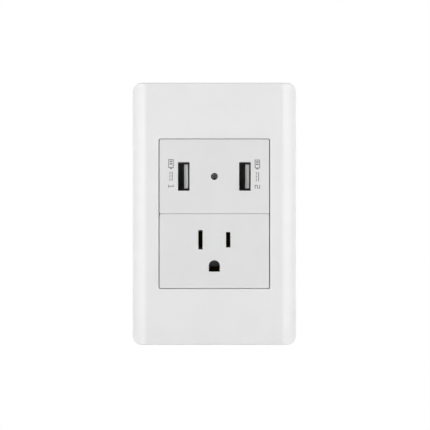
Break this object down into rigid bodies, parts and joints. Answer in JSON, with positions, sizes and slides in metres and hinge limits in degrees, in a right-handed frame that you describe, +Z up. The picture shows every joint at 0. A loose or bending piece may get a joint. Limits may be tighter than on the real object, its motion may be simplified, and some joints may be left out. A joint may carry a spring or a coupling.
{
  "type": "usb wall socket",
  "caption": "Wall socket with a white clip-on cover plate, a USB charging module above and a grounded mains outlet module below, screwed to a wall box.",
  "frame": {"origin": "middle of the plate, between the two wall screws, on the wall's surface", "axes": "+X right and +Z up as seen from the front, +Y into the wall"},
  "size_m": [0.075, 0.0348, 0.12],
  "materials": {
    "cover_white": "satin moulded white",
    "module_white": "satin moulded white, slightly darker than the cover",
    "frame_grey": "plain moulded light grey",
    "housing_white": "plain moulded off-white",
    "base_grey": "moulded dark grey thermoset",
    "port_steel": "plated folded sheet",
    "tongue_white": "moulded pale insulator",
    "contact_gold": "gold flash over phosphor bronze",
    "lamp_clear": "clear epoxy lens over a dark cup",
    "lead_tin": "tinned wire",
    "board_green": "green solder mask",
    "core_ferrite": "sintered dark grey ferrite",
    "bobbin_black": "moulded black phenolic",
    "winding_tape": "copper winding wrapped in yellow polyester tape",
    "can_sleeve": "aluminium can in a dark shrink sleeve",
    "chip_black": "moulded black epoxy",
    "choke_core": "ferrite drum",
    "fuse_coat": "green flameproof coating",
    "disc_blue": "blue dipped ceramic disc",
    "strip_brass": "folded brass strip",
    "clamp_steel": "zinc plated steel",
    "screw_zinc": "zinc plated steel",
    "screw_brass": "brass",
    "screw_silver": "nickel plated",
    "screw_green": "green dyed plating"
  },
  "bodies": {
    "root": {"cover_plate": "cover_white", "mounting_frame": "frame_grey", "usb_face": "module_white", "usb_housing": "housing_white", "charger_board": "board_green", "left_usb_shell": "port_steel", "right_usb_shell": "port_steel", "left_usb_tongue": "tongue_white", "right_usb_tongue": "tongue_white", "left_usb_contacts": "contact_gold", "right_usb_contacts": "contact_gold", "indicator_lamp": "lamp_clear", "indicator_leads": "lead_tin", "transformer_core": "core_ferrite", "transformer_bobbin": "bobbin_black", "transformer_winding": "winding_tape", "input_capacitor": "can_sleeve", "output_capacitors": "can_sleeve", "rectifier": "chip_black", "controller_chip": "chip_black", "choke": "choke_core", "fuse_resistor": "fuse_coat", "safety_capacitor": "disc_blue", "usb_neutral_terminal": "strip_brass", "usb_line_terminal": "strip_brass", "usb_terminal_clamps": "clamp_steel", "usb_terminal_screws": "screw_zinc", "outlet_face": "module_white", "outlet_base": "base_grey", "neutral_contact": "strip_brass", "line_contact": "strip_brass", "ground_contact": "strip_brass", "outlet_terminal_clamps": "clamp_steel", "neutral_terminal_screw": "screw_silver", "line_terminal_screw": "screw_brass", "ground_terminal_screw": "screw_green", "outlet_assembly_screws": "screw_zinc"}
  },
  "joints": []
}
